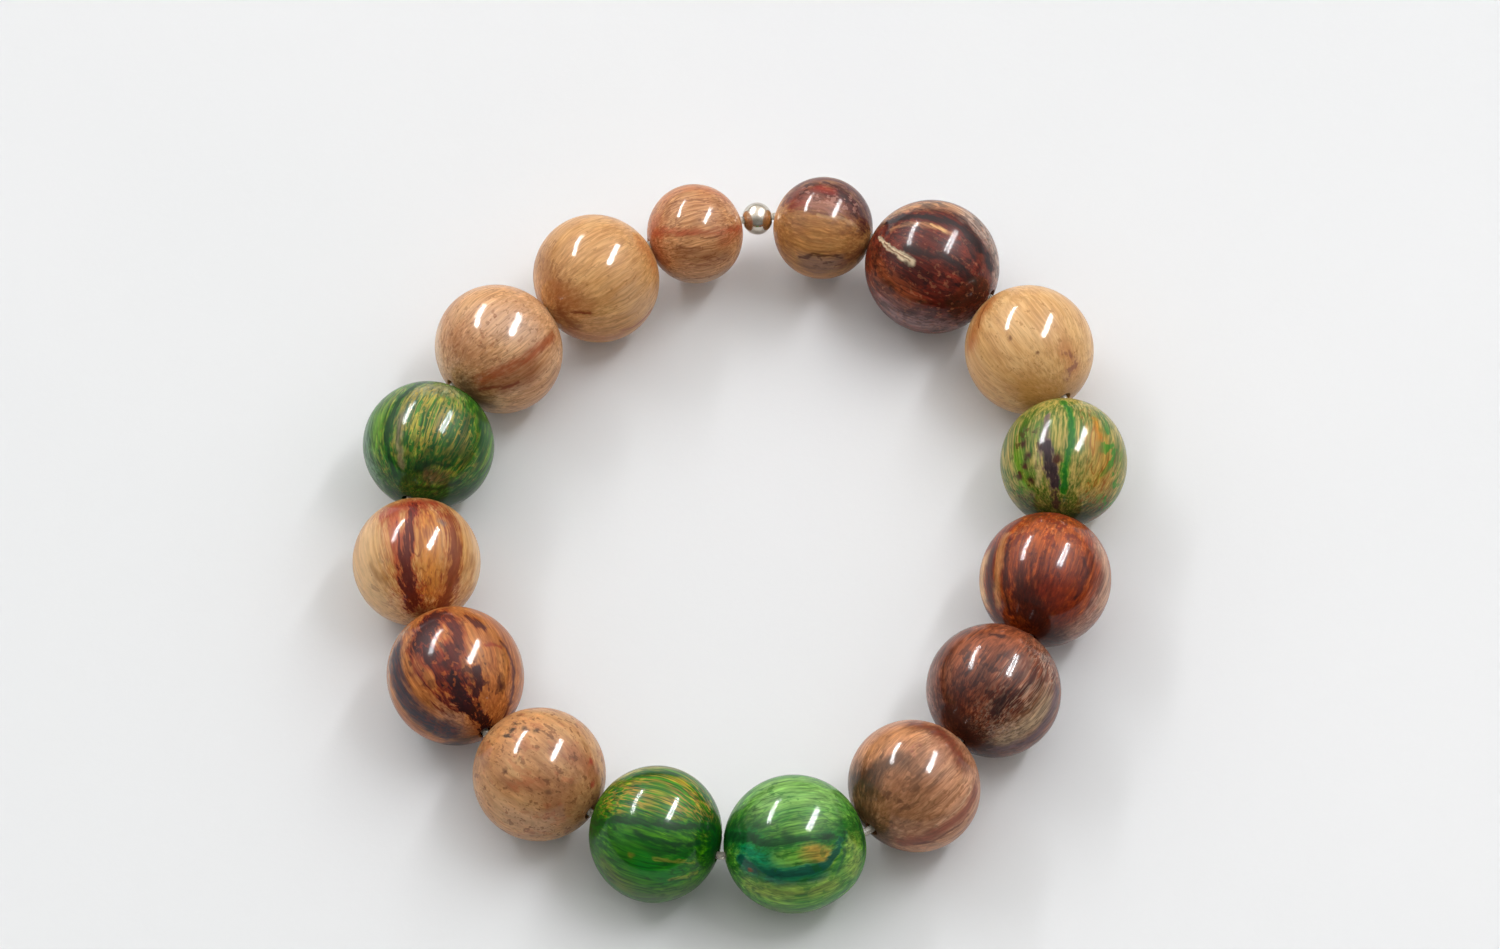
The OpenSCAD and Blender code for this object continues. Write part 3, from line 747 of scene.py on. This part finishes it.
# Painted reflection: a pale grey-green band mirrored along the left edge.
moss.patch("6A8670", [(-0.95, 0.2), (-0.92, -0.1), (-0.82, -0.5)], 0.34, 0.8)
moss.patch("8E8A6A", [(-0.2, 0.82), (0.34, 0.84)], 0.34, 0.85)
moss.patch("6E9A3A", [(-0.74, 0.45), (-0.82, 0.05)], 0.26)
moss.hairs("C0A450", 13, 0.09, 0.75, [(-0.1, 0.6), (0.3, 0.1), (-0.2, -0.1)], 1.0)
moss.specks("B8A04C", 14, 0.54, 0.6, [(-0.1, 0.5), (0.4, 0)], 0.9)
moss.patch("12380F", [(-0.4, -0.5), (0.1, -0.12), (0.55, -0.14)], 0.34, 0.8)
moss.patch("5A4430", [(0.04, -0.46), (0.24, -0.5)], 0.24, 0.8)
moss.streak("7A7052", [(-0.42, 0.45), (-0.47, 0.1), (-0.42, -0.25)], 0.12, soft=0.9)
moss.streak("0C3410", [(-0.06, 0.98), (-0.44, 0.7), (-0.6, 0.3), (-0.62, -0.1), (-0.5, -0.45)],
            0.11, soft=0.95, fringe="1C5A1C")
moss.streak("0E2C0C", [(-0.2, -0.34), (0.05, -0.26), (0.34, -0.3)], 0.08, soft=0.95)
moss.streak("0E2C0C", [(-0.2, -0.64), (0.15, -0.66), (0.45, -0.54)], 0.1, soft=0.95)
moss.streak("124016", [(0.67, 0.75), (0.8, 0.25), (0.78, -0.2)], 0.12, soft=0.95)
moss.hairs("0E3E10", 10, 0.07, 0.7)
moss.lacquer(contrast=0.3, mottle=0.3, uneven=0.1, depth=1.1)

# A peach-tan bead with slanting grain, whose lacquer is rougher than the others', and a russet
# strip that rises across its lower right.
bead_15 = lacquered_bead("bead_15", heading=-317.4, longer=-0.7)
slanted = BarkAndPaintedLight(bead_15, 15, ground="CE9A6A", pale="E2B88E", deep="A87048", broad=0.4, strips=0.25,
               fine=0.35, fineness=25)
slanted.patch("D69C60", [(-0.45, 0.78), (0.15, 0.9)], 0.36)
slanted.patch("CFA584", [(0, 0.4), (0.45, 0.3)], 0.5)
slanted.patch("A4663E", [(-0.66, 0.18), (-0.5, -0.25)], 0.5, 0.5)
slanted.patch("8E5230", [(-0.25, -0.55), (0.45, -0.4)], 0.4, 0.75)
# Painted shade and a painted dark reflection of the neighbouring bead, low at the left.
slanted.patch("422A1A", [(-0.54, -0.58), (-0.25, -0.84)], 0.36, 0.75)
slanted.hairs("6E4226", 17, 0.07, 0.38)
slanted.streak("9A4A24", [(-0.27, -0.48), (-0.04, -0.34), (0.16, -0.26), (0.41, -0.14),
                          (0.6, 0.02), (0.84, 0.22)], 0.15, soft=0.9, strength=0.85)
slanted.streak("7A3A24", [(-0.3, -0.62), (0.1, -0.56), (0.3, -0.5)], 0.06, soft=0.9)
# Painted reflection: a pale band mirrored along the left edge.
slanted.patch("DCBB98", [(-0.93, 0.3), (-0.93, -0.2)], 0.22)
slanted.specks("7A4A2C", 14, 0.6, 0.45)
slanted.specks("8A4A2A", 8, 0.6, 0.5, [(-0.5, 0), (0, 0.2)], 0.9)
slanted.lacquer(contrast=0.11, uneven=0.3, coat_rough=0.11)

# The last full-size bead: golden honey-tan with fine slanting fibres, shaded brown at the left,
# and a red-brown line low on its left.
bead_16 = lacquered_bead("bead_16", heading=-322.3, longer=-0.6)
golden = BarkAndPaintedLight(bead_16, 16, ground="CF9A61", pale="DFB37E", deep="A77041", broad=0.3, strips=0.3,
              fine=0.35, fineness=23)
golden.patch("A06A3C", [(-0.85, 0.3), (-0.6, -0.15)], 0.5)
golden.patch("9A5A30", [(-0.6, -0.25), (-0.3, -0.42)], 0.42)
golden.patch("CDA47C", [(0.6, -0.3), (0.85, -0.45)], 0.5)
golden.patch("BC7440", [(0.72, 0.54), (0.9, 0.25)], 0.3)
golden.patch("A86A48", [(-0.4, -0.84), (0.3, -0.9)], 0.26)
golden.patch("6A2A14", [(-0.56, -0.54), (-0.38, -0.72)], 0.26)
golden.streak("74301A", [(-0.36, -0.53), (-0.09, -0.54)], 0.06, soft=0.9)
golden.streak("A2644A", [(0.4, -0.8), (0.66, -0.68), (0.84, -0.5)], 0.1, soft=0.9)
golden.hairs("865428", 14, 0.06, 0.35)
golden.specks("80502A", 8, 0.58, 0.6, [(-0.8, 0.4), (-0.6, 0)], 0.5)
golden.specks("8A5A34", 14, 0.63, 0.4)
golden.lacquer(contrast=0.12, mottle=0.06, depth=1.02)

# The clear elastic cord that holds the beads. It runs straight through each hole, and bends
# clockwise in the gaps between the beads, where it barely shows.
CORD_D = 0.8 * MM
CORD_SIDES = 16
BEND_R = 3 * MM
BEND_STEPS = 6
low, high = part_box("elastic_cord")
cord_height = (low.z + high.z) / 2
threaded = [bead_01, ball, bead_02, bead_03, bead_04, bead_05, bead_06, bead_07, bead_08,
            bead_09, bead_10, bead_11, bead_12, bead_13, bead_14, bead_15, bead_16]
route = []
for before, after in zip(threaded[-1:] + threaded, threaded):
    a, b = before.location.xy, after.location.xy
    from_way = before.matrix_world.col[2].xy
    to_way = after.matrix_world.col[2].xy
    turn = from_way.angle_signed(to_way)
    corner = a + from_way * (b - a).cross(to_way) / from_way.cross(to_way)
    start = corner - from_way * BEND_R * tan(turn / 2)
    outward = Vector((-from_way.y, from_way.x))
    for k in range(BEND_STEPS + 1):
        swung = Matrix.Rotation(-turn * k / BEND_STEPS, 2) @ outward
        route.append((start + (swung - outward) * BEND_R, swung))
cord_points = []
for at, outward in route:
    for k in range(CORD_SIDES):
        across = CORD_D / 2 * cos(2 * pi * k / CORD_SIDES)
        rise = CORD_D / 2 * sin(2 * pi * k / CORD_SIDES)
        cord_points.append((*(at + outward * across), cord_height + rise))
cord_mesh = bpy.data.meshes.new("elastic")
cord_mesh.from_pydata(cord_points, [], ring_quads(len(route), CORD_SIDES))
cord_mesh.polygons.foreach_set("use_smooth", [True] * len(cord_mesh.polygons))
elastic = bpy.data.objects.new("elastic", cord_mesh)
bpy.context.scene.collection.objects.link(elastic)
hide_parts("elastic_cord")
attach(elastic, "root")
stretchy = bpy.data.materials.new("clear_elastic")
stretchy.use_nodes = True
clear = stretchy.node_tree
clear.nodes.clear()
here = put(clear, "TexCoord", {}).outputs["Object"]
cloud = grain(clear, here, 1.0, 900.0, 3)
shader = put(clear, "BsdfPrincipled", {
    "Base Color": blended(clear, cloud, dye("E9E4D8"), dye("CFC6B4")),
    "Roughness": eased(clear, cloud, 0.3, 0.7, 0.18, 0.34), "Transmission Weight": 0.6,
    "IOR": 1.45})
put(clear, "OutputMaterial", {"Surface": shader.outputs[0]})
cord_mesh.materials.append(stretchy)

# The plain pale floor that the bracelet rests on: a nearly matt white surface with a fine tooth,
# a hair below the lowest bead.
FLOOR_HALF = 3.0
FLOOR_BELOW = 0.02 * MM
floor_mesh = bpy.data.meshes.new("floor")
floor_mesh.from_pydata([(x * FLOOR_HALF, y * FLOOR_HALF, -FLOOR_BELOW)
                        for x, y in ((-1, -1), (1, -1), (1, 1), (-1, 1))], [], [(0, 1, 2, 3)])
floor = bpy.data.objects.new("floor", floor_mesh)
bpy.context.scene.collection.objects.link(floor)
pale_floor = bpy.data.materials.new("pale_floor")
pale_floor.use_nodes = True
ground = pale_floor.node_tree
ground.nodes.clear()
here = put(ground, "TexCoord", {}).outputs["Object"]
tooth = grain(ground, here, 0.0, 900.0, 3)
shade = blended(ground, eased(ground, grain(ground, here, 5.0, 9.0, 2), 0.3, 0.7),
                dye("DEDFE1"), dye("DADCDE"))
dents = put(ground, "Bump", {"Height": tooth, "Strength": 0.12, "Distance": 0.1 * MM})
shader = put(ground, "BsdfPrincipled", {"Base Color": shade, "Roughness": 0.55,
                                        "Specular IOR Level": 0.05, "Normal": dents.outputs[0]})
put(ground, "OutputMaterial", {"Surface": shader.outputs[0]})
floor_mesh.materials.append(pale_floor)

# Two long narrow ceiling lamps, 1.5 m up, which each bead mirrors as two slanting strips. Each
# is a pair: one that only lights, and a brighter one that only shows in what mirrors it. Their
# ends are given as shares of the height, and after them how strongly each one lights.
LAMP_HEIGHT = 1.5
LIGHT_WIDTH = 0.17
SHINE_WIDTH = 0.19
SHINE_RADIANCE = 250
LAMP_TINT = (0.97, 0.98, 1.0)
LAMPS = {"left_lamp": ((-0.83, 0.33), (-0.60, 1.66), 17),
         "right_lamp": ((0.40, -0.03), (0.97, 1.15), 12)}
for name, (start, end, shed) in LAMPS.items():
    near = Vector((*start, 1)) * LAMP_HEIGHT
    far = Vector((*end, 1)) * LAMP_HEIGHT
    for kind, width, radiance in (("light", LIGHT_WIDTH, shed),
                                  ("shine", SHINE_WIDTH, SHINE_RADIANCE)):
        tube = bpy.data.lights.new(name + "_" + kind, "AREA")
        tube.shape = "RECTANGLE"
        tube.size = (far - near).length
        tube.size_y = width
        tube.color = LAMP_TINT
        tube.energy = radiance * pi * tube.size * tube.size_y
        lamp = bpy.data.objects.new(tube.name, tube)
        lamp.location = (near + far) / 2
        lamp.rotation_euler = (0, 0, -Vector((1, 0)).angle_signed((far - near).xy))
        lamp.visible_diffuse = kind == "light"
        lamp.visible_glossy = kind == "shine"
        bpy.context.scene.collection.objects.link(lamp)

# The pale room round it, whose ceiling is lighter than its walls, and which is darker on the
# camera's side.
room = bpy.data.worlds.new("room")
room.use_nodes = True
bpy.context.scene.world = room
air = room.node_tree
air.nodes.clear()
way = put(air, "SeparateXYZ", {0: put(air, "TexCoord", {}).outputs["Generated"]}).outputs
glow = blended(air, eased(air, way[2], 0.0, 0.5), dye("A8A5A0"), dye("FFFDFA"))
strength = eased(air, way[1], -0.65, 0.1, 0.3, 1.16)
put(air, "OutputWorld", {0: put(air, "Background", {0: glow, 1: strength}).outputs[0]})
bpy.context.scene.view_settings.view_transform = "Standard"
